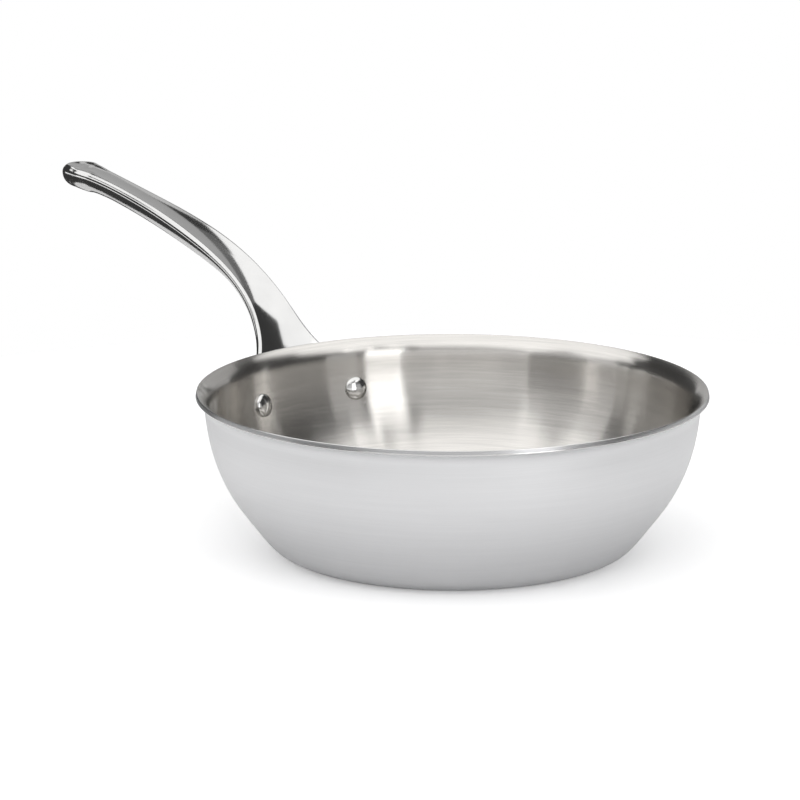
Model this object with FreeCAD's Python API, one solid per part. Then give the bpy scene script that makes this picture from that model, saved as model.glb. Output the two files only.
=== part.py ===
import FreeCAD, Part
import math
import os

# A round-bottomed saucier pan: a clad bowl with a flared lip, a cast handle
# that stands on a wide foot against the wall, and two solid rivets.
# Millimetres.  The origin is the centre of the underside, +Z is up and the
# handle runs along -X.  The pan is symmetric about the XZ plane.

V = FreeCAD.Vector

# ---------------------------------------------------------------- dimensions
BASE_R = 72.2            # flat of the underside
CORNER_R = 20.2          # radius where the base turns up into the wall
CORNER_TURN = 51.3       # degrees turned by that radius
# outer wall above the corner, (radius, height)
WALL = [
    (91.99, 12.62), (95.36, 16.95), (98.67, 21.29), (101.78, 25.62),
    (104.50, 29.95), (106.84, 34.29), (108.85, 38.62), (110.57, 42.95),
    (112.00, 47.29), (113.18, 51.62), (114.13, 55.95), (114.89, 60.29),
    (115.45, 64.62),
]
LIP_R = 120.0            # outermost corner of the flared lip
LIP_Z = 74.40            # height of that corner
LIP_BEND = 9.0           # bend radius under the lip
LIP_ANGLE = 32.0         # lip above horizontal at its cut edge, degrees
LIP_LEAN = (0.345, 0.078)  # how far the cut edge leans from square, per mm of depth
LEAN_FROM = 0.925        # part of the profile where that lean begins
OUTER_T = 0.6            # magnetic stainless outer ply
CORE_T = 1.5             # aluminium core
INNER_T = 0.6            # stainless cooking surface
SHEET_T = OUTER_T + CORE_T + INNER_T

RIVET_Z = 53.75          # height of the rivets on the inner wall
RIVET_Y = 28.5           # half of their spacing
RIVET_SHANK_R = 3.0
RIVET_HEAD_R = 5.6
RIVET_HEAD_H = 2.6
RIVET_RIM_H = 0.5
RIVET_TAIL_R = 4.9
RIVET_TAIL_H = 1.7

# The foot is a plate that hugs the wall.  Its outline is a bell, given as
# (height, half width), and the stem of the handle rises out of its middle.
FOOT_T = 4.6
FOOT_OUTLINE = [
    (43.8, 24.0), (45.2, 30.0), (47.6, 34.6), (50.6, 37.2), (53.8, 38.0),
    (57.0, 36.6), (60.2, 32.6), (63.4, 27.6), (66.6, 23.4),
]
FOOT_EDGE = 1.4          # rounding of the plate's outer edge

# Handle sections from the stem to the grip:
# (distance from the pan's axis, height, half width of the dished face,
#  bulge of the side beyond that face, thickness below the dish, dish depth,
#  depth of the widest line, how far the outside follows the dish, squareness)
# The stem is given at the middle of the dish, the rest at its crisp edges.
STEM = [
    (113.30, 57.0, 29.0, 1.6, 5.6, 3.80, 1.9, 0.90, 2.7),
    (116.20, 61.9, 26.6, 1.6, 6.2, 3.45, 1.9, 0.90, 2.7),
    (118.95, 66.5, 22.8, 1.5, 6.4, 2.95, 1.9, 0.80, 2.6),
    (121.55, 70.9, 19.4, 1.4, 6.4, 2.45, 1.9, 0.70, 2.5),
    (123.95, 75.1, 16.75, 1.3, 6.3, 2.05, 1.9, 0.55, 2.5),
]
GRIP = [
    (125.15, 79.15, 14.70, 1.20, 6.1, 1.80, 1.9, 0.4, 2.5),
    (128.85, 84.4, 12.75, 1.15, 6.0, 1.62, 1.9, 0.3, 2.4),
    (132.8, 89.5, 11.50, 1.10, 5.9, 1.48, 1.9, 0.2, 2.4),
    (137.1, 94.2, 10.60, 1.10, 5.9, 1.38, 1.9, 0.1, 2.3),
    (141.9, 98.6, 9.93, 1.10, 5.9, 1.29, 1.9, 0.0, 2.3),
    (147.3, 102.7, 9.45, 1.10, 5.7, 1.23, 2.0, 0.0, 2.3),
    (153.3, 106.5, 9.11, 1.10, 5.8, 1.18, 2.0, 0.0, 2.3),
    (159.7, 110.1, 8.87, 1.20, 6.5, 1.15, 2.1, 0.0, 2.3),
    (166.5, 113.3, 8.67, 1.35, 7.3, 1.13, 2.2, 0.0, 2.3),
    (173.7, 116.3, 8.47, 1.50, 8.0, 1.10, 2.3, 0.0, 2.3),
    (181.3, 119.1, 8.23, 1.70, 8.6, 1.07, 2.4, 0.0, 2.3),
    (189.2, 121.7, 7.89, 1.90, 9.1, 1.02, 2.5, 0.0, 2.3),
    (197.4, 124.1, 7.45, 2.05, 9.3, 0.97, 2.5, 0.0, 2.3),
    (205.9, 126.3, 6.95, 2.20, 9.6, 0.90, 2.6, 0.0, 2.3),
    (214.5, 128.4, 6.43, 2.30, 9.7, 0.84, 2.6, 0.0, 2.3),
    (223.3, 130.3, 5.92, 2.40, 9.7, 0.77, 2.6, 0.0, 2.3),
    (232.2, 132.1, 5.48, 2.50, 9.7, 0.71, 2.6, 0.0, 2.3),
    (241.3, 133.8, 5.14, 2.55, 9.6, 0.67, 2.6, 0.0, 2.3),
    (250.4, 135.4, 4.94, 2.60, 9.5, 0.64, 2.6, 0.0, 2.3),
    (259.5, 137.0, 4.86, 2.70, 9.4, 0.64, 2.6, 0.0, 2.3),
    (267.0, 138.2, 4.86, 2.85, 9.4, 0.68, 2.7, 0.0, 2.3),
    (274.5, 139.25, 5.10, 3.10, 9.8, 0.85, 2.9, 0.0, 2.3),
]
# The rounded end keeps fixed section planes; the last entry is its tilt.
KNOB = [
    ((280.5, 139.93, 6.08, 2.94, 10.44, 1.10, 3.1, 0.0, 2.3), 5.0),
    ((286.0, 140.47, 7.09, 2.52, 10.17, 1.40, 3.3, 0.0, 2.3), 2.5),
    ((290.98, 141.36, 6.98, 2.81, 10.53, 1.50, 3.92, 0.0, 2.22), 0.0),
]
KNOB_STRETCH = 1.084     # the last section is turned about its middle, stretched by this
SECTION_STEP = 4.0       # spacing of the skinned sections
EDGE_TURN = math.radians(45.0)   # angle of the crisp edge beside the dish


# ---------------------------------------------------------------------- bowl
def outer_points():
    pts = []
    n = 6
    for i in range(n):
        a = math.radians(CORNER_TURN) * i / (n - 1)
        pts.append((BASE_R + CORNER_R * math.sin(a), CORNER_R * (1 - math.cos(a))))
    pts += WALL
    a0, a1 = math.radians(84.0), math.radians(LIP_ANGLE)
    cr = LIP_R + LIP_BEND * math.sin(a1)
    cz = LIP_Z - LIP_BEND * math.cos(a1)
    for i in range(6):
        a = a0 + (a1 - a0) * i / 5
        pts.append((cr - LIP_BEND * math.sin(a), cz + LIP_BEND * math.cos(a)))
    return pts


def spline(pts, t0, t1):
    c = Part.BSplineCurve()
    c.interpolate(Points=[V(r, 0, z) for r, z in pts],
                  InitialTangent=V(t0[0], 0, t0[1]), FinalTangent=V(t1[0], 0, t1[1]))
    return c


LIP_DIR = (math.cos(math.radians(LIP_ANGLE)), math.sin(math.radians(LIP_ANGLE)))
OUTER_CURVE = spline(outer_points(), (1, 0), LIP_DIR)


def offset_curve(d):
    """The outer wall moved inwards by d, square to the sheet but for the lean at the lip."""
    if d == 0:
        return OUTER_CURVE
    first, last = OUTER_CURVE.FirstParameter, OUTER_CURVE.LastParameter
    pts = []
    for i in range(41):
        u = first + (last - first) * i / 40
        p = OUTER_CURVE.value(u)
        t = OUTER_CURVE.tangent(u)[0]
        lean = d * max(0.0, (i / 40 - LEAN_FROM) / (1 - LEAN_FROM)) ** 2
        pts.append((p.x - d * t.z + lean * LIP_LEAN[0], p.z + d * t.x + lean * LIP_LEAN[1]))
    # direction of this surface at the cut edge, with the bend and the lean
    rate = 2 * d / (OUTER_CURVE.length() * (1 - LEAN_FROM))
    end = [(1 + d / LIP_BEND) * LIP_DIR[k] + rate * LIP_LEAN[k] for k in (0, 1)]
    size = math.hypot(*end)
    return spline(pts, (1, 0), (end[0] / size, end[1] / size))


CURVES = {d: offset_curve(d) for d in (0, OUTER_T, OUTER_T + CORE_T, SHEET_T)}


def line(a, b):
    return Part.LineSegment(a, b).toShape()


def ends(d):
    c = CURVES[d]
    return c.value(c.FirstParameter), c.value(c.LastParameter)


def ply(d0, d1):
    """One sheet of the clad bowl, between two depths from the outside."""
    a0, a1 = ends(d0)
    b0, b1 = ends(d1)
    axis0, axis1 = V(0, 0, d0), V(0, 0, d1)
    wire = Part.Wire([line(axis0, a0), CURVES[d0].toShape(), line(a1, b1),
                      CURVES[d1].toShape(), line(b0, axis1), line(axis1, axis0)])
    return Part.Face(wire).revolve(V(0, 0, 0), V(0, 0, 1), 360)


def filled(d):
    """Everything inside the surface at depth d, closed across the lip."""
    a0, a1 = ends(d)
    top = V(0, 0, a1.z)
    wire = Part.Wire([line(V(0, 0, d), a0), CURVES[d].toShape(), line(a1, top), line(top, V(0, 0, d))])
    return Part.Face(wire).revolve(V(0, 0, 0), V(0, 0, 1), 360)


# -------------------------------------------------------------------- handle
def section_points(wt, dw, thick, sag, am, follow, p):
    """Half of a handle section as (sideways, up): the dish, then the side."""
    ws = wt + dw

    def lift(b):
        return follow * sag * (b / wt) ** 2 + (1 - follow) * sag

    dish = [(wt * i / 5, sag * (i / 5) ** 2) for i in range(6)]
    side = []
    drop = sag - (lift(ws) - am)
    for i in range(5):
        f = EDGE_TURN + (math.pi / 2 - EDGE_TURN) * i / 4
        side.append((wt + dw * (math.sin(f) - math.sin(EDGE_TURN)) / (1 - math.sin(EDGE_TURN)),
                     sag - drop * (math.cos(EDGE_TURN) - math.cos(f)) / math.cos(EDGE_TURN)))
    depth = thick + (1 - follow) * sag - am
    for i in range(1, 10):
        t = math.pi / 2 * i / 9
        b = ws * max(0.0, math.cos(t)) ** (2 / p) if i < 9 else 0.0
        side.append((b, lift(b) - am - depth * math.sin(t) ** (2 / p)))
    return dish, side


def stations():
    rows = [(r, None, True) for r in STEM] + [(r, None, False) for r in GRIP]
    rows += [(r, tilt, False) for r, tilt in KNOB]
    # section planes stand square to the line through the neighbours
    pts = [(r[0], r[1]) for r, tilt, centre in rows]
    out = []
    for it in range(3):
        mid = []
        out = []
        for i, (r, tilt, centre) in enumerate(rows):
            a, b = pts[max(0, i - 1)], pts[min(len(pts) - 1, i + 1)]
            ang = math.atan2(b[1] - a[1], b[0] - a[0]) if tilt is None else math.radians(tilt)
            n = (-math.sin(ang), math.cos(ang))
            c = (r[0], r[1]) if centre else (r[0] - r[5] * n[0], r[1] - r[5] * n[1])
            mid.append(c)
            out.append((c, n, r))
        pts = mid
    return out


def monotone(xs, ys):
    """Smooth interpolation that never overshoots its points."""
    n = len(xs)
    h = [xs[i + 1] - xs[i] for i in range(n - 1)]
    d = [(ys[i + 1] - ys[i]) / h[i] for i in range(n - 1)]
    m = [d[0]] + [0.0] * (n - 2) + [d[-1]]
    for i in range(1, n - 1):
        if d[i - 1] * d[i] > 0:
            w1, w2 = 2 * h[i] + h[i - 1], h[i] + 2 * h[i - 1]
            m[i] = (w1 + w2) / (w1 / d[i - 1] + w2 / d[i])

    def at(x):
        i = 0
        while i < n - 2 and x > xs[i + 1]:
            i += 1
        t = (x - xs[i]) / h[i]
        return (ys[i] * (1 + 2 * t) * (1 - t) ** 2 + h[i] * m[i] * t * (1 - t) ** 2
                + ys[i + 1] * t * t * (3 - 2 * t) + h[i] * m[i + 1] * t * t * (t - 1))
    return at


def fine_stations():
    """The sections, filled in to an even spacing along the handle."""
    rows = stations()
    xs = [0.0]
    for (c, _, _), (e, _, _) in zip(rows, rows[1:]):
        xs.append(xs[-1] + math.hypot(e[0] - c[0], e[1] - c[1]))
    cx = monotone(xs, [c[0] for c, n, r in rows])
    cz = monotone(xs, [c[1] for c, n, r in rows])
    ang = monotone(xs, [math.atan2(-n[0], n[1]) for c, n, r in rows])
    par = [monotone(xs, [r[k] for c, n, r in rows]) for k in range(2, 9)]
    steps = int(round(xs[-1] / SECTION_STEP))
    out = []
    for x in [xs[-1] * i / steps for i in range(steps + 1)]:
        a = ang(x)
        out.append(((cx(x), cz(x)), (-math.sin(a), math.cos(a)), (0, 0) + tuple(f(x) for f in par)))
    return out


def section_wire(c, n, r):
    """One section of the handle: the dish, the +Y side and the -Y side."""
    dish, side = section_points(*r[2:])

    def place(b, a):
        return V(-(c[0] + a * n[0]), b, c[1] + a * n[1])

    top = [place(-b, a) for b, a in reversed(dish[1:])] + [place(b, a) for b, a in dish]
    right = [place(b, a) for b, a in side]
    left = [place(-b, a) for b, a in reversed(side)]
    edges = []
    for pts in (top, right, left):
        s = Part.BSplineCurve()
        s.interpolate(Points=pts)
        edges.append(s.toShape())
    return Part.Wire(edges)


def stem_shape():
    """The handle's stem and grip, skinned over its sections, and its rounded end."""
    wires = [section_wire(c, n, r) for c, n, r in fine_stations()]
    stem = Part.makeLoft(wires, True, True)
    # half of the last section turned about its upright middle line
    x0 = KNOB[-1][0][0]
    half = Part.Face(wires[-1]).common(Part.makeBox(40, 40, 80, V(-x0 - 20, 0, 100)))
    end = Part.Face(half.Faces[0].OuterWire).revolve(V(-x0, 0, 0), V(0, 0, 1), 180)
    stretch = FreeCAD.Matrix()
    stretch.A11 = KNOB_STRETCH
    stretch.A14 = -x0 * (1 - KNOB_STRETCH)
    return stem.fuse(end.transformGeometry(stretch))


def foot_shape():
    """The foot: a band of the wall's own curve, cut to the bell outline."""
    zs = [40.0 + i * 1.5 for i in range(20)]
    near, far = [], []
    for z in zs:
        p, n = wall_at(0, z)
        near.append((p.x, p.z))
        far.append((p.x + n[0] * FOOT_T, p.z + n[1] * FOOT_T))
    edges = []
    for pts in (near, far):
        c = Part.BSplineCurve()
        c.interpolate(Points=[V(r - 0.4 if pts is near else r, 0, z) for r, z in pts])
        edges.append(c)
    ends_ = [(c.value(c.FirstParameter), c.value(c.LastParameter)) for c in edges]
    wire = Part.Wire([edges[0].toShape(), line(ends_[0][1], ends_[1][1]),
                      edges[1].toShape(), line(ends_[1][0], ends_[0][0])])
    band = Part.Face(wire)
    band.rotate(V(0, 0, 0), V(0, 0, 1), 150)
    band = band.revolve(V(0, 0, 0), V(0, 0, 1), 60)
    right = [V(-140, w, z) for z, w in FOOT_OUTLINE]
    left = [V(-140, -w, z) for z, w in reversed(FOOT_OUTLINE)]
    sides = []
    for pts in (right, left):
        c = Part.BSplineCurve()
        c.interpolate(Points=pts)
        sides.append(c.toShape())
    outline = Part.Wire([sides[0], line(right[-1], left[0]), sides[1], line(left[-1], right[0])])
    plate = band.common(Part.Face(outline).extrude(V(60, 0, 0)))
    outer_edges = []
    for e in plate.Edges:
        m = e.valueAt((e.FirstParameter + e.LastParameter) / 2)
        w = wall_at(0, m.z)[0].x
        if math.hypot(m.x, m.y) > w + 0.7 * FOOT_T and m.z < 66.0:
            outer_edges.append(e)
    return plate.makeFillet(FOOT_EDGE, outer_edges)


def handle_shape():
    return stem_shape().fuse(foot_shape()).cut(filled(0))


# -------------------------------------------------------------------- rivets
def wall_at(d, height):
    """Point and outward normal of the surface at depth d, at a height."""
    c = CURVES[d]
    lo, hi = c.FirstParameter, c.LastParameter
    for _ in range(60):
        mid = (lo + hi) / 2
        if c.value(mid).z < height:
            lo = mid
        else:
            hi = mid
    p = c.value(lo)
    t = c.tangent(lo)[0]
    return p, (t.z, -t.x)


def rivet_axis(side):
    p, n = wall_at(SHEET_T, RIVET_Z)
    ang = math.pi - side * math.asin(RIVET_Y / p.x)
    radial = V(math.cos(ang), math.sin(ang), 0)
    return radial * p.x + V(0, 0, p.z), radial * n[0] + V(0, 0, n[1])


def turned(profile, origin, axis):
    """A turned shape: (along the axis, radius) points round the axis."""
    pts = [V(r, 0, a) for a, r in profile]
    wire = Part.makePolygon(pts + [pts[0]])
    shape = Part.Face(wire).revolve(V(0, 0, 0), V(0, 0, 1), 360)
    shape.Placement = FreeCAD.Placement(origin, FreeCAD.Rotation(V(0, 0, 1), axis))
    return shape


def shank(side, reach=30.0):
    o, n = rivet_axis(side)
    return Part.makeCylinder(RIVET_SHANK_R, 2 * reach, o - n * reach, n)


def head_profile():
    """Domed head, from inside the sheet to the crown."""
    pts = [(1.6, 0.0), (1.6, RIVET_HEAD_R), (-RIVET_RIM_H, RIVET_HEAD_R)]
    for i in range(1, 13):
        t = math.pi / 2 * i / 12
        pts.append((-RIVET_RIM_H - (RIVET_HEAD_H - RIVET_RIM_H) * math.sin(t), RIVET_HEAD_R * math.cos(t)))
    pts[-1] = (-RIVET_HEAD_H, 0.0)
    return pts


def main():
    os.makedirs("parts", exist_ok=True)
    outer = ply(0, OUTER_T)
    core = ply(OUTER_T, OUTER_T + CORE_T)
    inner = ply(OUTER_T + CORE_T, SHEET_T)
    wall = ply(0, SHEET_T)
    whole_handle = handle_shape()
    handle = whole_handle
    for side in (1, -1):
        cyl = shank(side)
        # only the near wall is drilled
        near = Part.makeBox(120, 60, 40, V(-160, side * RIVET_Y - 30, RIVET_Z - 20))
        cyl = cyl.common(near)
        outer, core, inner, handle = outer.cut(cyl), core.cut(cyl), inner.cut(cyl), handle.cut(cyl)
    rivets = {}
    for side, name in ((1, "rivet_left"), (-1, "rivet_right")):
        o, n = rivet_axis(side)
        head = turned(head_profile(), o, n).cut(wall).cut(Part.makeCylinder(40, 40, o + n * 1.0, n))
        # the tail is upset flat against the foot, at the far face on this axis
        probe = whole_handle.common(Part.makeLine(o, o + n * 30))
        far = max((v.Point - o).dot(n) for v in probe.Vertexes)
        body = Part.makeCylinder(RIVET_SHANK_R, far + 1.6, o - n * 0.8, n)
        pad = Part.makeCylinder(RIVET_TAIL_R, RIVET_TAIL_H + 4, o + n * (far - 4), n)
        tail = pad.cut(whole_handle).cut(filled(0))
        solids = [s for s in tail.Solids if (s.CenterOfMass - o).dot(n) > far - 1.5]
        tail = max(solids, key=lambda s: s.Volume)
        head = max(head.Solids, key=lambda s: s.Volume)
        rivets[name] = head.fuse(body).fuse(tail).removeSplitter()
    nodes = {"outer_ply": outer, "core_ply": core, "inner_ply": inner, "handle": handle}
    nodes.update(rivets)
    for name, shape in nodes.items():
        solids = shape.Solids
        if len(solids) == 1:
            shape = solids[0]
        shape.exportStep("parts/%s.step" % name)
        b = shape.optimalBoundingBox(False)
        print("%-12s solids %d valid %s volume %.1f cm3  x %.1f..%.1f y %.1f..%.1f z %.2f..%.2f" % (
            name, len(solids), shape.isValid(), shape.Volume / 1000, b.XMin, b.XMax, b.YMin, b.YMax, b.ZMin, b.ZMax))


main()
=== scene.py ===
import math

import bpy
import bmesh
import numpy as np
from mathutils import Matrix, Vector
from mathutils.bvhtree import BVHTree


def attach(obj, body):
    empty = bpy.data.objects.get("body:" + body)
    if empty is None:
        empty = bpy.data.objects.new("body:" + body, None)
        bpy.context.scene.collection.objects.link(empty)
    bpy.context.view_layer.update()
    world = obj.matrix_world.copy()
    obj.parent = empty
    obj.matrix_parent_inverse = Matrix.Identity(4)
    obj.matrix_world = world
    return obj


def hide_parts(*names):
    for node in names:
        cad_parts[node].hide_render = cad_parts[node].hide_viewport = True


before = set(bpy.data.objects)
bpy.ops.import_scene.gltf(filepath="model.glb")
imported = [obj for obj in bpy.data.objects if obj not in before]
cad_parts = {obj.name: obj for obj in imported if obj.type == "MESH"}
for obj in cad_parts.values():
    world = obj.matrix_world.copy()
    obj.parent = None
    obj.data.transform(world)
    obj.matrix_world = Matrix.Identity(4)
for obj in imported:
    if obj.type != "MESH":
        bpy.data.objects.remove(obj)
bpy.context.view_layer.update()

MM = 0.001
scene = bpy.context.scene

# ------------------------------------------------------------------ dimensions
# The same figures as the construction, in millimetres.
BASE_R, CORNER_R, CORNER_TURN = 72.2, 20.2, 51.3
WALL = [
    (91.99, 12.62), (95.36, 16.95), (98.67, 21.29), (101.78, 25.62),
    (104.50, 29.95), (106.84, 34.29), (108.85, 38.62), (110.57, 42.95),
    (112.00, 47.29), (113.18, 51.62), (114.13, 55.95), (114.89, 60.29),
    (115.45, 64.62),
]
LIP_R, LIP_Z, LIP_BEND, LIP_ANGLE = 120.0, 74.40, 9.0, 32.0
LIP_LEAN, LEAN_FROM = (0.345, 0.078), 0.925
OUTER_T, CORE_T, INNER_T = 0.6, 1.5, 0.6
SHEET_T = OUTER_T + CORE_T + INNER_T
RIVET_Z, RIVET_Y = 53.75, 28.5
SHANK_R, HEAD_R, HEAD_H, RIM_H = 3.0, 5.6, 2.6, 0.5
TAIL_R, TAIL_H = 4.9, 1.7

# Handle sections: (distance from the pan's axis, height, half width of the
# dished face, side bulge, thickness under the dish, dish depth, depth of the
# widest line, how far the outside follows the dish, squareness).
FOOT = [
    (110.75, 43.6, 23.0, 1.2, 2.6, 2.2, 1.0, 1.0, 3.0),
    (111.35, 45.6, 30.5, 1.6, 3.6, 4.0, 1.4, 1.0, 3.4),
    (112.35, 48.8, 35.2, 1.8, 4.2, 5.4, 1.6, 1.0, 3.6),
    (113.65, 53.7, 36.2, 1.8, 4.8, 5.9, 1.7, 1.0, 3.4),
    (114.85, 58.2, 33.8, 1.8, 5.6, 5.0, 1.8, 1.0, 3.0),
    (116.75, 62.6, 28.6, 1.6, 6.2, 3.9, 1.9, 0.95, 2.7),
    (119.25, 66.8, 23.4, 1.5, 6.4, 3.0, 1.9, 0.85, 2.6),
    (121.65, 71.0, 19.3, 1.4, 6.4, 2.45, 1.9, 0.7, 2.5),
    (123.95, 75.1, 16.75, 1.3, 6.3, 2.05, 1.9, 0.55, 2.5),
]
GRIP = [
    (125.15, 79.15, 14.70, 1.20, 6.1, 1.80, 1.9, 0.4, 2.5),
    (128.85, 84.4, 12.75, 1.15, 6.0, 1.62, 1.9, 0.3, 2.4),
    (132.8, 89.5, 11.50, 1.10, 5.9, 1.48, 1.9, 0.2, 2.4),
    (137.1, 94.2, 10.60, 1.10, 5.9, 1.38, 1.9, 0.1, 2.3),
    (141.9, 98.6, 9.93, 1.10, 5.9, 1.29, 1.9, 0.0, 2.3),
    (147.3, 102.7, 9.45, 1.10, 5.7, 1.23, 2.0, 0.0, 2.3),
    (153.3, 106.5, 9.11, 1.10, 5.8, 1.18, 2.0, 0.0, 2.3),
    (159.7, 110.1, 8.87, 1.20, 6.5, 1.15, 2.1, 0.0, 2.3),
    (166.5, 113.3, 8.67, 1.35, 7.3, 1.13, 2.2, 0.0, 2.3),
    (173.7, 116.3, 8.47, 1.50, 8.0, 1.10, 2.3, 0.0, 2.3),
    (181.3, 119.1, 8.23, 1.70, 8.6, 1.07, 2.4, 0.0, 2.3),
    (189.2, 121.7, 7.89, 1.90, 9.1, 1.02, 2.5, 0.0, 2.3),
    (197.4, 124.1, 7.45, 2.05, 9.3, 0.97, 2.5, 0.0, 2.3),
    (205.9, 126.3, 6.95, 2.20, 9.6, 0.90, 2.6, 0.0, 2.3),
    (214.5, 128.4, 6.43, 2.30, 9.7, 0.84, 2.6, 0.0, 2.3),
    (223.3, 130.3, 5.92, 2.40, 9.7, 0.77, 2.6, 0.0, 2.3),
    (232.2, 132.1, 5.48, 2.50, 9.7, 0.71, 2.6, 0.0, 2.3),
    (241.3, 133.8, 5.14, 2.55, 9.6, 0.67, 2.6, 0.0, 2.3),
    (250.4, 135.4, 4.94, 2.60, 9.5, 0.64, 2.6, 0.0, 2.3),
    (259.5, 137.0, 4.86, 2.70, 9.4, 0.64, 2.6, 0.0, 2.3),
    (267.0, 138.2, 4.86, 2.85, 9.4, 0.68, 2.7, 0.0, 2.3),
    (274.5, 139.25, 5.10, 3.10, 9.8, 0.85, 2.9, 0.0, 2.3),
]
KNOB = [
    ((280.5, 139.93, 6.08, 2.94, 10.44, 1.10, 3.1, 0.0, 2.3), 5.0),
    ((286.0, 140.47, 7.09, 2.52, 10.17, 1.40, 3.3, 0.0, 2.3), 2.5),
    ((290.98, 141.36, 6.98, 2.81, 10.53, 1.50, 3.92, 0.0, 2.22), 0.0),
]
KNOB_STRETCH = 1.084
EDGE_TURN = math.radians(45.0)
EDGE_SOFT = 0.55         # how far the polished edge beside the dish is rounded

# ---------------------------------------------------------------------- curves
def clamped_spline(pts, t0, t1):
    """Cubic through the points with given end directions; returns place and direction."""
    p = np.array(pts, float)
    u = np.r_[0, np.cumsum(np.hypot(*np.diff(p, axis=0).T))]
    h = np.diff(u)
    n = len(p)
    a, rhs = np.zeros((n, n)), np.zeros((n, 2))
    a[0, 0] = a[-1, -1] = 1
    rhs[0], rhs[-1] = t0, t1
    for i in range(1, n - 1):
        a[i, i - 1], a[i, i], a[i, i + 1] = 1 / h[i - 1], 2 * (1 / h[i - 1] + 1 / h[i]), 1 / h[i]
        rhs[i] = 3 * ((p[i] - p[i - 1]) / h[i - 1] ** 2 + (p[i + 1] - p[i]) / h[i] ** 2)
    m = np.linalg.solve(a, rhs)

    def at(x):
        i = int(np.clip(np.searchsorted(u, x) - 1, 0, n - 2))
        t = (x - u[i]) / h[i]
        q = (p[i] * (1 + 2 * t) * (1 - t) ** 2 + h[i] * m[i] * t * (1 - t) ** 2
             + p[i + 1] * t * t * (3 - 2 * t) + h[i] * m[i + 1] * t * t * (t - 1))
        d = (p[i + 1] - p[i]) / h[i] * 6 * t * (1 - t) + m[i] * (1 - t) * (1 - 3 * t) + m[i + 1] * t * (3 * t - 2)
        return q, d / np.hypot(*d)
    return u, at


def monotone(xs, ys):
    """Smooth interpolation that never overshoots its points, for an array of rows.
    All columns but the first run level into the last row."""
    xs, ys = np.array(xs, float), np.array(ys, float)
    h = np.diff(xs)[:, None]
    d = np.diff(ys, axis=0) / h
    m = np.zeros_like(ys)
    m[0], m[-1, 0] = d[0], d[-1, 0]
    for i in range(1, len(xs) - 1):
        w1, w2 = 2 * h[i] + h[i - 1], h[i] + 2 * h[i - 1]
        same = d[i - 1] * d[i] > 0
        safe0, safe1 = np.where(same, d[i - 1], 1.0), np.where(same, d[i], 1.0)
        m[i] = np.where(same, (w1 + w2) / (w1 / safe0 + w2 / safe1), 0.0)

    def at(x):
        i = int(np.clip(np.searchsorted(xs, x) - 1, 0, len(xs) - 2))
        t = (x - xs[i]) / h[i]
        return (ys[i] * (1 + 2 * t) * (1 - t) ** 2 + h[i] * m[i] * t * (1 - t) ** 2
                + ys[i + 1] * t * t * (3 - 2 * t) + h[i] * m[i + 1] * t * t * (t - 1))
    return at


def outer_points():
    pts = []
    for i in range(6):
        a = math.radians(CORNER_TURN) * i / 5
        pts.append((BASE_R + CORNER_R * math.sin(a), CORNER_R * (1 - math.cos(a))))
    pts += WALL
    a0, a1 = math.radians(84.0), math.radians(LIP_ANGLE)
    cr, cz = LIP_R + LIP_BEND * math.sin(a1), LIP_Z - LIP_BEND * math.cos(a1)
    for i in range(6):
        a = a0 + (a1 - a0) * i / 5
        pts.append((cr - LIP_BEND * math.sin(a), cz + LIP_BEND * math.cos(a)))
    return pts


LIP_DIR = np.array((math.cos(math.radians(LIP_ANGLE)), math.sin(math.radians(LIP_ANGLE))))
KNOTS, OUTER = clamped_spline(outer_points(), (1.0, 0.0), LIP_DIR)


def surface(d, per):
    """The bowl's surface at depth d under the outside, from the flat base to the lip."""
    us = []
    for a, b in zip(KNOTS, KNOTS[1:]):
        us += [a + (b - a) * i / per for i in range(per)]
    us.append(KNOTS[-1])
    out = []
    for u in us:
        p, t = OUTER(u)
        lean = d * max(0.0, (u / KNOTS[-1] - LEAN_FROM) / (1 - LEAN_FROM)) ** 2
        out.append((p[0] - d * t[1] + lean * LIP_LEAN[0], p[1] + d * t[0] + lean * LIP_LEAN[1]))
    return out


def wall_at(d, height):
    lo, hi = KNOTS[0], KNOTS[-1]
    for _ in range(60):
        mid = (lo + hi) / 2
        p, t = OUTER(mid)
        if p[1] + d * t[0] < height:
            lo = mid
        else:
            hi = mid
    p, t = OUTER(lo)
    return p + d * np.array((-t[1], t[0])), np.array((t[1], -t[0]))


# ---------------------------------------------------------------------- meshes
def new_object(name, verts, faces, mats, face_mats=None, smooth=True):
    me = bpy.data.meshes.new(name)
    me.from_pydata([tuple(v) for v in verts], [], faces)
    for m in mats:
        me.materials.append(m)
    if face_mats is not None:
        me.polygons.foreach_set("material_index", np.array(face_mats, np.int32))
    me.polygons.foreach_set("use_smooth", np.full(len(me.polygons), smooth))
    me.update()
    bm = bmesh.new()
    bm.from_mesh(me)
    bmesh.ops.recalc_face_normals(bm, faces=bm.faces)
    bm.to_mesh(me)
    bm.free()
    ob = bpy.data.objects.new(name, me)
    scene.collection.objects.link(ob)
    return ob


def lathe(name, profile, segs, mats, kinds=None):
    """A turned mesh about +Z from (radius, height) points in mm; ends on the axis close it."""
    verts, rings, faces, fm = [], [], [], []
    for r, z in profile:
        if r < 1e-6:
            rings.append([len(verts)])
            verts.append((0, 0, z * MM))
        else:
            rings.append(list(range(len(verts), len(verts) + segs)))
            for k in range(segs):
                a = 2 * math.pi * k / segs
                verts.append((r * MM * math.cos(a), r * MM * math.sin(a), z * MM))
    for i, (a, b) in enumerate(zip(rings, rings[1:])):
        kind = kinds[i] if kinds else 0
        for k in range(segs):
            j = (k + 1) % segs
            if len(a) == 1 and len(b) == 1:
                continue
            if len(a) == 1:
                faces.append((a[0], b[k], b[j]))
            elif len(b) == 1:
                faces.append((a[k], b[0], a[j]))
            else:
                faces.append((a[k], b[k], b[j], a[j]))
            fm.append(kind)
    return new_object(name, verts, faces, mats, fm)


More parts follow.
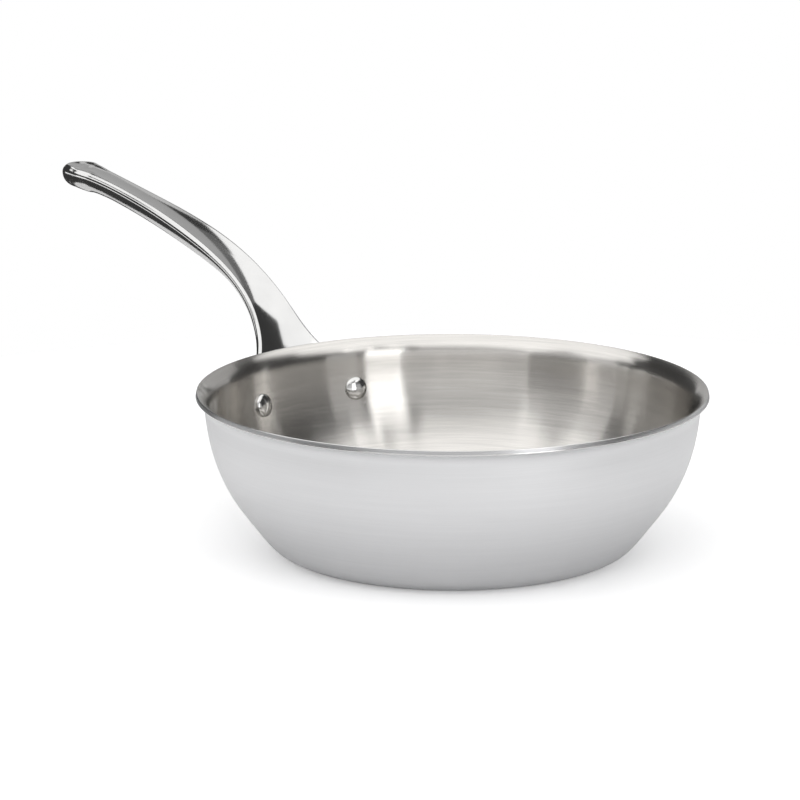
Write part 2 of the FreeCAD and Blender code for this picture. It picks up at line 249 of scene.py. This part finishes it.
def rounded(a, corner, b, radius, n=5):
    """Points of a round of that radius at a corner between the lines to a and b."""
    a, corner, b = (np.array(v, float) for v in (a, corner, b))
    u, v = a - corner, b - corner
    u, v = u / np.hypot(*u), v / np.hypot(*v)
    half = math.acos(max(-1, min(1, float(u @ v)))) / 2
    reach = radius / math.tan(half)
    mid = (u + v) / np.hypot(*(u + v))
    centre = corner + mid * radius / math.sin(half)
    p, q = corner + u * reach, corner + v * reach
    s, e = math.atan2(*(p - centre)[::-1]), math.atan2(*(q - centre)[::-1])
    while e - s > math.pi:
        e -= 2 * math.pi
    while e - s < -math.pi:
        e += 2 * math.pi
    return [tuple(centre + radius * np.array((math.cos(s + (e - s) * i / n), math.sin(s + (e - s) * i / n)))) for i in range(n + 1)]


def cut(ob, cutters):
    """Takes the cutters out of a mesh and leaves the result as its mesh."""
    for c in cutters:
        m = ob.modifiers.new("cut", "BOOLEAN")
        m.operation, m.solver, m.object = "DIFFERENCE", "EXACT", c
    dg = bpy.context.evaluated_depsgraph_get()
    me = bpy.data.meshes.new_from_object(ob.evaluated_get(dg))
    old = ob.data
    ob.modifiers.clear()
    ob.data = me
    me.name = old.name
    bpy.data.meshes.remove(old)
    return ob


# ------------------------------------------------------------------- materials
def material(name):
    m = bpy.data.materials.new(name)
    m.use_nodes = True
    nt = m.node_tree
    nt.nodes.clear()
    out = nt.nodes.new("ShaderNodeOutputMaterial")
    bsdf = nt.nodes.new("ShaderNodeBsdfPrincipled")
    nt.links.new(bsdf.outputs["BSDF"], out.inputs["Surface"])
    bsdf.inputs["Metallic"].default_value = 1.0
    return m, nt, bsdf


class Graph:
    """Short forms for the shader nodes used below."""

    def __init__(self, nt):
        self.nt = nt

    def node(self, kind, **props):
        n = self.nt.nodes.new(kind)
        for k, v in props.items():
            setattr(n, k, v)
        return n

    def link(self, a, b):
        self.nt.links.new(a, b)

    def math(self, op, a, b=None):
        n = self.node("ShaderNodeMath", operation=op)
        for i, v in enumerate((a, b)):
            if v is None:
                continue
            if isinstance(v, (int, float)):
                n.inputs[i].default_value = v
            else:
                self.link(v, n.inputs[i])
        return n.outputs[0]

    def vec(self, op, a, b=None, scale=None):
        n = self.node("ShaderNodeVectorMath", operation=op)
        for i, v in enumerate((a, b)):
            if v is None:
                continue
            if isinstance(v, tuple):
                n.inputs[i].default_value = v
            else:
                self.link(v, n.inputs[i])
        if scale is not None:
            n.inputs["Scale"].default_value = scale
        return n.outputs["Value"] if op in ("LENGTH", "DOT_PRODUCT") else n.outputs["Vector"]

    def noise(self, vector, scale, detail=4.0, rough=0.55, distortion=0.0):
        n = self.node("ShaderNodeTexNoise")
        n.inputs["Scale"].default_value = scale
        n.inputs["Detail"].default_value = detail
        n.inputs["Roughness"].default_value = rough
        n.inputs["Distortion"].default_value = distortion
        self.link(vector, n.inputs["Vector"])
        return n.outputs["Fac"]

    def ramp(self, fac, stops):
        n = self.node("ShaderNodeValToRGB")
        el = n.color_ramp.elements
        while len(el) > 2:
            el.remove(el[-1])
        for i, (pos, c) in enumerate(stops):
            e = el[i] if i < 2 else el.new(pos)
            e.position = pos
            e.color = (*c, 1.0) if isinstance(c, tuple) else (c, c, c, 1.0)
        self.link(fac, n.inputs["Fac"])
        return n.outputs["Color"]

    def remap(self, fac, lo, hi, a=0.0, b=1.0):
        n = self.node("ShaderNodeMapRange")
        for k, v in (("From Min", a), ("From Max", b), ("To Min", lo), ("To Max", hi)):
            n.inputs[k].default_value = v
        self.link(fac, n.inputs["Value"])
        return n.outputs["Result"]

    def mix(self, fac, a, b):
        n = self.node("ShaderNodeMix", data_type="RGBA")
        self.link(fac, n.inputs["Factor"])
        for key, v in ((6, a), (7, b)):
            if isinstance(v, tuple):
                n.inputs[key].default_value = (*v, 1.0)
            else:
                self.link(v, n.inputs[key])
        return n.outputs[2]

    def bump(self, height, strength, distance):
        n = self.node("ShaderNodeBump")
        n.inputs["Strength"].default_value = strength
        n.inputs["Distance"].default_value = distance
        self.link(height, n.inputs["Height"])
        return n.outputs["Normal"]


def turned_coords(g, around, across):
    """Texture space of a turned piece: long along the turning, fine across it."""
    tc = g.node("ShaderNodeTexCoord")
    flat = g.vec("MULTIPLY", tc.outputs["Object"], (1.0, 1.0, 0.0))
    r = g.vec("LENGTH", flat)
    sep = g.node("ShaderNodeSeparateXYZ")
    g.link(tc.outputs["Object"], sep.inputs["Vector"])
    q = g.math("MULTIPLY", g.math("ADD", r, sep.outputs["Z"]), across)
    ring = g.vec("SCALE", g.vec("NORMALIZE", flat), scale=around)
    up = g.node("ShaderNodeCombineXYZ")
    g.link(q, up.inputs["Z"])
    return g.vec("ADD", ring, up.outputs["Vector"]), tc.outputs["Object"]


def steel_sheet(name, light, dark, rough, spread, aniso, around, across, bump, seed=0.0):
    """Sheet steel finished round the bowl: fine rings in its tone, gloss and relief."""
    m, nt, bsdf = material(name)
    g = Graph(nt)
    rings, place = turned_coords(g, around, across)
    shifted = g.vec("ADD", rings, (seed, seed * 0.7, seed * 1.3))
    lines = g.noise(shifted, 1.0, 5.0, 0.62)
    wide = g.noise(g.vec("MULTIPLY", shifted, (1.0, 1.0, 0.14)), 1.0, 3.0, 0.5)
    cloud = g.noise(place, 26.0, 3.0, 0.5)
    grain = g.math("ADD", g.math("MULTIPLY", lines, 0.6), g.math("MULTIPLY", wide, 0.4))
    tone = g.mix(g.remap(grain, 0.0, 1.0, 0.36, 0.64), dark, light)
    g.link(tone, bsdf.inputs["Base Color"])
    both = g.math("ADD", g.math("MULTIPLY", grain, 0.8), g.math("MULTIPLY", cloud, 0.2))
    g.link(g.remap(both, rough - spread, rough + spread, 0.35, 0.65), bsdf.inputs["Roughness"])
    bsdf.inputs["Anisotropic"].default_value = aniso
    bsdf.inputs["Anisotropic Rotation"].default_value = 0.25
    tan = g.node("ShaderNodeTangent", direction_type="RADIAL", axis="Z")
    g.link(tan.outputs["Tangent"], bsdf.inputs["Tangent"])
    g.link(g.bump(lines, bump, 0.0001), bsdf.inputs["Normal"])
    return m


def polished_cast(name):
    """Polished casting: nearly a mirror, with a faint ripple, haze and hairline marks."""
    m, nt, bsdf = material(name)
    g = Graph(nt)
    tc = g.node("ShaderNodeTexCoord")
    place = tc.outputs["Object"]
    haze = g.noise(place, 60.0, 4.0, 0.55)
    marks = g.noise(g.vec("MULTIPLY", place, (90.0, 1900.0, 1900.0)), 1.0, 3.0, 0.6)
    hair = g.remap(marks, 0.0, 1.0, 0.60, 0.78)
    tone = g.mix(g.remap(haze, 0.0, 1.0, 0.35, 0.65), (0.600, 0.598, 0.592), (0.640, 0.638, 0.632))
    g.link(tone, bsdf.inputs["Base Color"])
    soft = g.math("ADD", g.remap(haze, 0.095, 0.120, 0.35, 0.65), g.math("MULTIPLY", hair, 0.012))
    g.link(soft, bsdf.inputs["Roughness"])
    ripple = g.noise(place, 42.0, 2.0, 0.4)
    height = g.math("ADD", ripple, g.math("MULTIPLY", hair, -0.004))
    g.link(g.bump(height, 0.06, 0.0006), bsdf.inputs["Normal"])
    return m


def spun_rivet(name):
    """Rivet steel, turned and polished about its own axis."""
    m, nt, bsdf = material(name)
    g = Graph(nt)
    rings, place = turned_coords(g, 0.6, 5200.0)
    lines = g.noise(rings, 1.0, 3.0, 0.6)
    haze = g.noise(place, 240.0, 3.0, 0.5)
    g.link(g.mix(g.remap(lines, 0.0, 1.0, 0.35, 0.65), (0.60, 0.595, 0.585), (0.67, 0.665, 0.655)), bsdf.inputs["Base Color"])
    both = g.math("ADD", g.math("MULTIPLY", lines, 0.7), g.math("MULTIPLY", haze, 0.3))
    g.link(g.remap(both, 0.10, 0.20, 0.35, 0.65), bsdf.inputs["Roughness"])
    bsdf.inputs["Anisotropic"].default_value = 0.55
    bsdf.inputs["Anisotropic Rotation"].default_value = 0.25
    tan = g.node("ShaderNodeTangent", direction_type="RADIAL", axis="Z")
    g.link(tan.outputs["Tangent"], bsdf.inputs["Tangent"])
    g.link(g.bump(lines, 0.05, 0.00005), bsdf.inputs["Normal"])
    return m


MAT_INNER = steel_sheet("brushed_inside", (0.665, 0.647, 0.620), (0.570, 0.554, 0.531), 0.20, 0.008, 1.0, 2.6, 1900.0, 0.02)
MAT_OUTER = steel_sheet("satin_outside", (0.758, 0.759, 0.765), (0.722, 0.723, 0.729), 0.37, 0.04, 0.30, 2.0, 2600.0, 0.06, 3.7)
MAT_EDGE = steel_sheet("ground_edge", (0.700, 0.696, 0.688), (0.650, 0.646, 0.638), 0.22, 0.04, 0.30, 5.0, 9000.0, 0.03, 7.1)
MAT_CORE = steel_sheet("aluminium_core", (0.640, 0.645, 0.655), (0.570, 0.575, 0.585), 0.30, 0.05, 0.30, 6.0, 6000.0, 0.10, 1.9)
MAT_CUT = steel_sheet("aluminium_cut", (0.530, 0.530, 0.537), (0.460, 0.460, 0.467), 0.36, 0.05, 0.30, 5.0, 7000.0, 0.08, 4.3)
MAT_CAST = polished_cast("polished_casting")
MAT_RIVET = spun_rivet("spun_rivet")

# ------------------------------------------------------------------------ bowl
SEGS = 360


def ply_profile(d0, d1, fine0, fine1, round0, round1):
    """Closed (radius, height) loop of one ply and the kind of each strip."""
    a, b = surface(d0, fine0), surface(d1, fine1)
    flats = (0.0, 6.0, 14.0, 24.0, 36.0, 48.0, 58.0, 66.0)
    end_a, end_b = np.array(a[-1]), np.array(b[-1])
    dir_a, dir_b = end_a - np.array(a[-2]), end_b - np.array(b[-2])
    dir_a, dir_b = dir_a / np.hypot(*dir_a), dir_b / np.hypot(*dir_b)
    low = rounded(end_a - dir_a, end_a, end_b, round0, 6)
    high = rounded(end_a, end_b, end_b - dir_b, round1, 6)
    # the sheet's last points make way for the rounds of the cut edge
    pts = [(r, d0) for r in flats] + [q for q in a if (np.array(q) - low[0]) @ dir_a < -0.05]
    first = len(pts)
    pts += low + high
    last = len(pts) - 1
    pts += [q for q in reversed(b) if (np.array(q) - high[-1]) @ dir_b < -0.05]
    pts += [(r, d1) for r in reversed(flats)]
    kinds = [1 if first <= i < last else 0 for i in range(len(pts) - 1)]
    return pts, kinds


pts, kinds = ply_profile(0.0, OUTER_T, 4, 1, 0.42, 0.03)
bowl_outer = lathe("bowl_outer", pts, SEGS, [MAT_OUTER, MAT_EDGE], kinds)
pts, kinds = ply_profile(OUTER_T, OUTER_T + CORE_T, 1, 1, 0.03, 0.03)
bowl_core = lathe("bowl_core", pts, SEGS, [MAT_CORE, MAT_CUT], kinds)
pts, kinds = ply_profile(OUTER_T + CORE_T, SHEET_T, 1, 4, 0.03, 0.36)
bowl_inner = lathe("bowl_inner", pts, SEGS, [MAT_INNER, MAT_EDGE], kinds)


# ---------------------------------------------------------------------- handle
def section(wt, dw, thick, sag, am, follow, p, edge=EDGE_SOFT):
    """Half a handle section as (sideways, up): dish, rounded edge, side, underside."""
    ws = wt + dw

    def lift(b):
        return follow * sag * (b / wt) ** 2 + (1 - follow) * sag

    soft = min(edge, 0.3 * wt, 1.44 * max(dw, 0.05))
    out = []
    inner = wt - soft
    for i in range(13):
        b = inner * i / 12
        out.append((b, sag * (b / wt) ** 2))
    drop = sag - (lift(ws) - am)
    s45, c45 = math.sin(EDGE_TURN), math.cos(EDGE_TURN)

    def shoulder(f):
        return (wt + dw * (math.sin(f) - s45) / (1 - s45), sag - drop * (c45 - math.cos(f)) / c45)

    step = min(0.6, soft / max(1e-6, math.hypot(dw * c45 / (1 - s45), drop * s45 / c45)))
    p0, p1, p2 = np.array(out[-1]), np.array((wt, sag)), np.array(shoulder(EDGE_TURN + step))
    for i in range(1, 7):
        t = i / 6
        out.append(tuple((1 - t) ** 2 * p0 + 2 * t * (1 - t) * p1 + t * t * p2))
    for i in range(1, 8):
        out.append(shoulder(EDGE_TURN + step + (math.pi / 2 - EDGE_TURN - step) * i / 7))
    depth = thick + (1 - follow) * sag - am
    n = 20
    for i in range(1, n + 1):
        t = math.pi / 2 * i / n
        b = ws * max(0.0, math.cos(t)) ** (2 / p) if i < n else 0.0
        out.append((b, lift(b) - am - depth * math.sin(t) ** (2 / p)))
    return out


def handle_rows():
    """Section centres, tilts and figures at even steps along the handle."""
    rows = [(r, None, True) for r in FOOT] + [(r, None, False) for r in GRIP]
    rows += [(r, t, False) for r, t in KNOB]
    full = len(rows)
    pts = [(r[0], r[1]) for r, t, c in rows]
    for _ in range(3):
        mid, tilt = [], []
        for i, (r, t, centre) in enumerate(rows):
            a, b = pts[max(0, i - 1)], pts[min(len(pts) - 1, i + 1)]
            ang = math.atan2(b[1] - a[1], b[0] - a[0]) if t is None else math.radians(t)
            tilt.append(ang)
            mid.append((r[0], r[1]) if centre else (r[0] + r[5] * math.sin(ang), r[1] - r[5] * math.cos(ang)))
        pts = mid
    s = np.r_[0, np.cumsum(np.hypot(*np.diff(np.array(pts), axis=0).T))]
    table = np.c_[np.array(pts), np.array(tilt), np.array([r[2:] for r, t, c in rows])]
    at = monotone(s, table)
    step = 1.0
    n = int(round(s[-1] / step))
    even = np.array([at(s[-1] * i / n) for i in range(n + 1)])
    # a polished casting flows: take the small kinks out of every figure
    width = 7.0
    k = np.exp(-0.5 * (np.arange(-24, 25) * (s[-1] / n) / width) ** 2)
    k /= k.sum()
    padded = np.vstack([2 * even[0] - even[24:0:-1], even, 2 * even[-1] - even[-2:-26:-1]])
    flow = np.array([np.convolve(padded[:, c], k, "valid") for c in range(even.shape[1])]).T
    dist = np.linspace(0, s[-1], n + 1)
    near_end = np.clip((dist - (s[-1] - 26.0)) / 14.0, 0, 1)[:, None]
    near_foot = np.clip(1 - dist / 22.0, 0, 1)[:, None]
    hold = np.maximum(near_end, near_foot)
    hold = hold * hold * (3 - 2 * hold)
    return dist, flow * (1 - hold) + even * hold


def make_handle():
    dist, rows = handle_rows()
    rings = []
    for d, r in zip(dist, rows):
        x, z, ang = r[:3]
        wt, dw, thick, sag, am, follow, p = r[3:]
        if d < 1.8:      # the foot's lower edge is rounded off
            k = max(0.16, math.sqrt(max(0.0, 1 - (1 - d / 1.8) ** 2)))
            thick, am, dw = thick * k, am * k, dw * k
        late = min(1.0, max(0.0, (d - dist[-1] + 22.0) / 20.0))
        rings.append((x, z, ang, section(wt, dw, thick, sag, am, follow, p, EDGE_SOFT + 0.3 * late)))
    verts, faces = [], []
    loops = []
    for x, z, ang, half in rings:
        n = (-math.sin(ang), math.cos(ang))
        loop = half + [(-b, a) for b, a in reversed(half[1:-1])]
        ids = []
        for b, a in loop:
            px, pz = x + a * n[0], z + a * n[1]
            ids.append(len(verts))
            verts.append([-px, b, pz])
        loops.append(ids)
    for a, b in zip(loops, loops[1:]):
        m = len(a)
        for k in range(m):
            j = (k + 1) % m
            faces.append((a[k], a[j], b[j], b[k]))
    ids = loops[0]
    c = len(verts)
    verts.append(list(np.mean([verts[i] for i in ids], axis=0)))
    for k in range(len(ids)):
        faces.append((c, ids[(k + 1) % len(ids)], ids[k]))
    # the end is the last half section turned about its upright middle line
    x0, z0, ang, half = rings[-1]
    ids, m, turns = loops[-1], len(half), 40
    columns = [[ids[0]] + [ids[2 * m - 2 - k] for k in range(1, m - 1)] + [ids[m - 1]]]
    for j in range(1, turns):
        t = math.pi * (j / turns - 0.5)
        col = [ids[0]]
        for b, a in half[1:-1]:
            col.append(len(verts))
            verts.append([-(x0 + KNOB_STRETCH * b * math.cos(t)), b * math.sin(t), z0 + a])
        columns.append(col + [ids[m - 1]])
    columns.append(list(ids[:m]))
    for a, b in zip(columns, columns[1:]):
        faces.append((a[0], a[1], b[1]))
        for k in range(1, m - 2):
            faces.append((a[k], a[k + 1], b[k + 1], b[k]))
        faces.append((a[m - 2], a[m - 1], b[m - 2]))
    # the foot lies on the wall and never enters it
    for v in verts:
        if v[2] < 74.0:
            r = math.hypot(v[0], v[1])
            wall = wall_at(0.0, v[2])[0][0] + 0.02
            if r < wall:
                v[0] *= wall / r
                v[1] *= wall / r
    return new_object("cast_handle", [np.array(v) * MM for v in verts], faces, [MAT_CAST])


cast_handle = make_handle()


# ---------------------------------------------------------------------- rivets
def rivet_axis(side):
    p, n = wall_at(SHEET_T, RIVET_Z)
    ang = math.pi - side * math.asin(RIVET_Y / p[0])
    radial = np.array((math.cos(ang), math.sin(ang), 0.0))
    return radial * p[0] + np.array((0, 0, p[1])), radial * n[0] + np.array((0, 0, n[1]))


def far_face(ob, origin, axis):
    """How far along the axis the mesh's last face lies, in mm."""
    me = ob.data
    tree = BVHTree.FromPolygons([v.co[:] for v in me.vertices], [tuple(p.vertices) for p in me.polygons])
    hit = tree.ray_cast(Vector((origin + axis * 60) * MM), Vector(-axis))
    return 60.0 - hit[3] / MM


def rivet_profile(far):
    """(radius, along the axis) of a solid rivet, crown inside the pan first."""
    pts = [(0.0, -HEAD_H)]
    n = 30
    for i in range(1, n + 1):
        t = math.pi / 2 * i / n
        pts.append((HEAD_R * math.sin(t), -RIM_H - (HEAD_H - RIM_H) * math.cos(t) ** 0.95))
    pts += [(HEAD_R, -RIM_H * 0.4), (HEAD_R - 0.04, 0.05), (HEAD_R - 0.25, 0.16), (SHANK_R + 0.6, 0.12), (SHANK_R, 0.3)]
    pts += [(SHANK_R, 0.3 + (far - 0.3) * i / 6) for i in range(1, 6)]
    base = far - 0.35
    pts += [(SHANK_R, base), (TAIL_R - 0.35, base + 0.05), (TAIL_R - 0.04, base + 0.35)]
    tail = far + TAIL_H
    for i in range(0, 9):
        t = math.pi / 2 * i / 8
        pts.append((TAIL_R - 0.9 * (1 - math.cos(t)), tail - 0.8 + 0.7 * math.sin(t)))
    pts += [(TAIL_R * 0.55, tail - 0.03), (TAIL_R * 0.3, tail), (0.0, tail)]
    return pts


rivets, cutters = {}, []
for side, name in ((1, "left"), (-1, "right")):
    o, n = rivet_axis(side)
    far = far_face(cast_handle, o, n)
    ob = lathe("rivet_%s_turned" % name, rivet_profile(far), 96, [MAT_RIVET])
    turn = Vector(n).to_track_quat("Z", "Y").to_matrix().to_4x4()
    ob.matrix_world = Matrix.Translation(Vector(o * MM)) @ turn
    rivets[name] = ob
    tool = lathe("hole_tool_%s" % name, [(0.0, -1.5), (SHANK_R, -1.5), (SHANK_R, far + 3), (0.0, far + 3)], 64, [MAT_RIVET])
    tool.matrix_world = ob.matrix_world.copy()
    cutters.append(tool)
bpy.context.view_layer.update()
for ob in (bowl_outer, bowl_core, bowl_inner, cast_handle):
    cut(ob, cutters)
for tool in cutters:
    me = tool.data
    bpy.data.objects.remove(tool)
    bpy.data.meshes.remove(me)

for ob, node, slot in ((bowl_inner, "inner_ply", "inner_steel"), (bowl_core, "core_ply", "core_aluminium"),
                       (bowl_outer, "outer_ply", "outer_steel"), (cast_handle, "handle", "cast_steel"),
                       (rivets["left"], "rivet_left", "rivet_steel"), (rivets["right"], "rivet_right", "rivet_steel")):
    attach(ob, "root")
    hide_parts(node)

# ---------------------------------------------------------------------- camera
ELEV, DIST = math.radians(14.934), 2.5
FOCAL_PX, YAW, PITCH = 5312.567, -0.010145, 0.027922
PHI = math.radians(40.07)


def to_row(v):
    """From the camera's ground axes (right, away, up) to the part's frame."""
    r, a, u = v
    return Vector((r * math.sin(PHI) - a * math.cos(PHI), r * math.cos(PHI) + a * math.sin(PHI), u))


cam_data = bpy.data.cameras.new("camera")
cam_data.sensor_width = 36.0
cam_data.lens = FOCAL_PX * 36.0 / 800.0
cam_data.clip_start, cam_data.clip_end = 0.05, 50.0
cam = bpy.data.objects.new("camera", cam_data)
scene.collection.objects.link(cam)
ang = -ELEV + PITCH
fwd = to_row((math.sin(YAW) * math.cos(ang), math.cos(YAW) * math.cos(ang), math.sin(ang))).normalized()
right = fwd.cross(Vector((0, 0, 1))).normalized()
up = right.cross(fwd)
cam.matrix_world = Matrix.Translation(to_row((0, -DIST * math.cos(ELEV), DIST * math.sin(ELEV)))) @ Matrix((right, up, -fwd)).transposed().to_4x4()
scene.camera = cam

# ----------------------------------------------------------------------- studio
def make_floor():
    verts, faces = [(0, 0, 0)], []
    segs, radii = 96, (0.1, 0.2, 0.3, 0.39, 0.47)
    for r in radii:
        for k in range(segs):
            a = 2 * math.pi * k / segs
            verts.append((r * math.cos(a), r * math.sin(a), 0))
    for k in range(segs):
        faces.append((0, 1 + k, 1 + (k + 1) % segs))
    for i in range(len(radii) - 1):
        for k in range(segs):
            j = (k + 1) % segs
            faces.append((1 + i * segs + k, 1 + (i + 1) * segs + k, 1 + (i + 1) * segs + j, 1 + i * segs + j))
    m = bpy.data.materials.new("pale_floor")
    m.use_nodes = True
    nt = m.node_tree
    nt.nodes.clear()
    g = Graph(nt)
    out = g.node("ShaderNodeOutputMaterial")
    bsdf = g.node("ShaderNodeBsdfPrincipled")
    tc = g.node("ShaderNodeTexCoord")
    fleck = g.noise(tc.outputs["Object"], 120.0, 4.0, 0.55)
    g.link(g.mix(fleck, (0.937, 0.937, 0.943), (0.965, 0.965, 0.965)), bsdf.inputs["Base Color"])
    bsdf.inputs["Roughness"].default_value = 0.75
    bsdf.inputs["Specular IOR Level"].default_value = 0.2
    # a little light of its own lets the floor run into the white background
    seen = g.node("ShaderNodeLightPath")
    bsdf.inputs["Emission Color"].default_value = (1, 1, 1, 1)
    g.link(g.math("MULTIPLY", seen.outputs["Is Camera Ray"], 0.31), bsdf.inputs["Emission Strength"])
    clear = g.node("ShaderNodeBsdfTransparent")
    geo = g.node("ShaderNodeNewGeometry")
    mix = g.node("ShaderNodeMixShader")
    g.link(geo.outputs["Backfacing"], mix.inputs["Fac"])
    g.link(bsdf.outputs["BSDF"], mix.inputs[1])
    g.link(clear.outputs["BSDF"], mix.inputs[2])
    g.link(mix.outputs["Shader"], out.inputs["Surface"])
    me = bpy.data.meshes.new("floor")
    me.from_pydata(verts, [], faces)
    me.materials.append(m)
    me.update()
    ob = bpy.data.objects.new("floor", me)
    scene.collection.objects.link(ob)
    ob.location.z = -0.00002
    return ob


floor = make_floor()


def around(azimuth, elevation, distance):
    """A place about the pan; azimuth is right of the camera's direction, in degrees."""
    a, e = math.radians(azimuth), math.radians(elevation)
    return (math.sin(a) * math.cos(e) * distance, math.cos(a) * math.cos(e) * distance, math.sin(e) * distance)


def softbox(name, place, width, height, radiance, aim=(0, 0, 0.06), across=None):
    """A rectangular light. Place, aim and the run of its width are (right, towards the
    camera, up) from the middle of the base, in metres; without an aim it faces down."""
    at = to_row((place[0], -place[1], place[2]))
    back = at - to_row((aim[0], -aim[1], aim[2])) if aim else Vector((0, 0, 1))
    if across:
        x = to_row((across[0], -across[1], across[2])).normalized()
        z = (back - x * back.dot(x)).normalized()
        turn = Matrix((x, z.cross(x), z)).transposed().to_4x4()
    else:
        turn = back.to_track_quat("Z", "Y").to_matrix().to_4x4()
    data = bpy.data.lights.new(name, "AREA")
    data.shape = "RECTANGLE"
    data.size, data.size_y = width, height
    data.energy = radiance * math.pi * width * height
    ob = bpy.data.objects.new(name, data)
    scene.collection.objects.link(ob)
    ob.matrix_world = Matrix.Translation(at) @ turn
    ob.visible_camera = False
    return ob


# three panels overhead, soft boxes round the front and right, dim panels behind
LEVEL = (1, 0, 0)
softbox("over_left", (-0.39, -0.235, 1.11), 1.02, 1.37, 1.36, None, LEVEL)
softbox("over_far_left", (-1.3, -0.065, 1.11), 0.8, 1.03, 1.36, None, LEVEL)
softbox("over_right", (0.525, -0.22, 1.11), 0.81, 1.54, 1.36, None, LEVEL)
softbox("over_far_right", (1.09, 0.2, 1.11), 0.32, 0.8, 1.36, None, LEVEL)
softbox("over_front", (-0.25, 0.65, 1.11), 1.7, 0.4, 1.58, None, LEVEL)
softbox("front_fill", (-0.4, 1.12, 1.11), 1.6, 0.54, 1.10, None, LEVEL)
softbox("lip_box", (1, 0.7, 1.11), 0.4, 0.25, 1.77, (0.06, 0.1, 0.07), (0.85, -0.527, 0))
softbox("left_low", around(-84, 8, 1.3), 0.6, 0.33, 0.74)
softbox("left_high", around(-66, 27.5, 1.3), 1.15, 0.56, 0.58)
softbox("front_low", around(-5.5, 8.5, 1.3), 1.66, 0.4, 1.12)
softbox("front_high", around(-5.5, 26.5, 1.3), 1.66, 0.4, 0.62)
softbox("strip_low", around(36, 9, 1.1), 0.35, 0.36, 2.90)
softbox("strip_high", around(36, 29, 1.1), 0.35, 0.42, 2.10)
softbox("back_right", (0.5, -1.42, 0.55), 1.8, 1.1, 0.43, (0.5, 0, 0.55), (1, 0, 0))
softbox("back_band", (0.7, -1.42, 1.33), 1.4, 0.45, 0.13, (0.7, 0, 1.33), (1, 0, 0))
softbox("back_left", (-0.33, -1.42, 0.95), 0.26, 1.9, 0.67, (-0.33, 0, 0.95), (1, 0, 0))
softbox("far_strip", around(107, 10, 1.1), 0.07, 0.6, 0.35)
softbox("left_floor", (-1, -0.36, 0.075), 0.56, 0.15, 1.15, (0, -0.36, 0.075), (0, 1, 0))
softbox("right_box", around(58, 14, 1.2), 0.36, 0.6, 0.51)
softbox("right_low", (1.19, -0.1, 0.03), 0.75, 0.1, 1.80)
softbox("right_low_back", (0.92, -0.77, 0.03), 0.75, 0.1, 1.80)

world = bpy.data.worlds.new("studio")
scene.world = world
world.use_nodes = True
wt = world.node_tree
wt.nodes.clear()
wg = Graph(wt)
w_out = wg.node("ShaderNodeOutputWorld")
w_room = wg.node("ShaderNodeBackground")
w_room.inputs["Color"].default_value = (0.055, 0.055, 0.055, 1)
w_back = wg.node("ShaderNodeBackground")
w_back.inputs["Color"].default_value = (1, 1, 1, 1)
w_path = wg.node("ShaderNodeLightPath")
w_mix = wg.node("ShaderNodeMixShader")
wg.link(w_path.outputs["Is Camera Ray"], w_mix.inputs["Fac"])
wg.link(w_room.outputs["Background"], w_mix.inputs[1])
wg.link(w_back.outputs["Background"], w_mix.inputs[2])
wg.link(w_mix.outputs["Shader"], w_out.inputs["Surface"])
scene.view_settings.view_transform = "Standard"
scene.view_settings.look = "None"
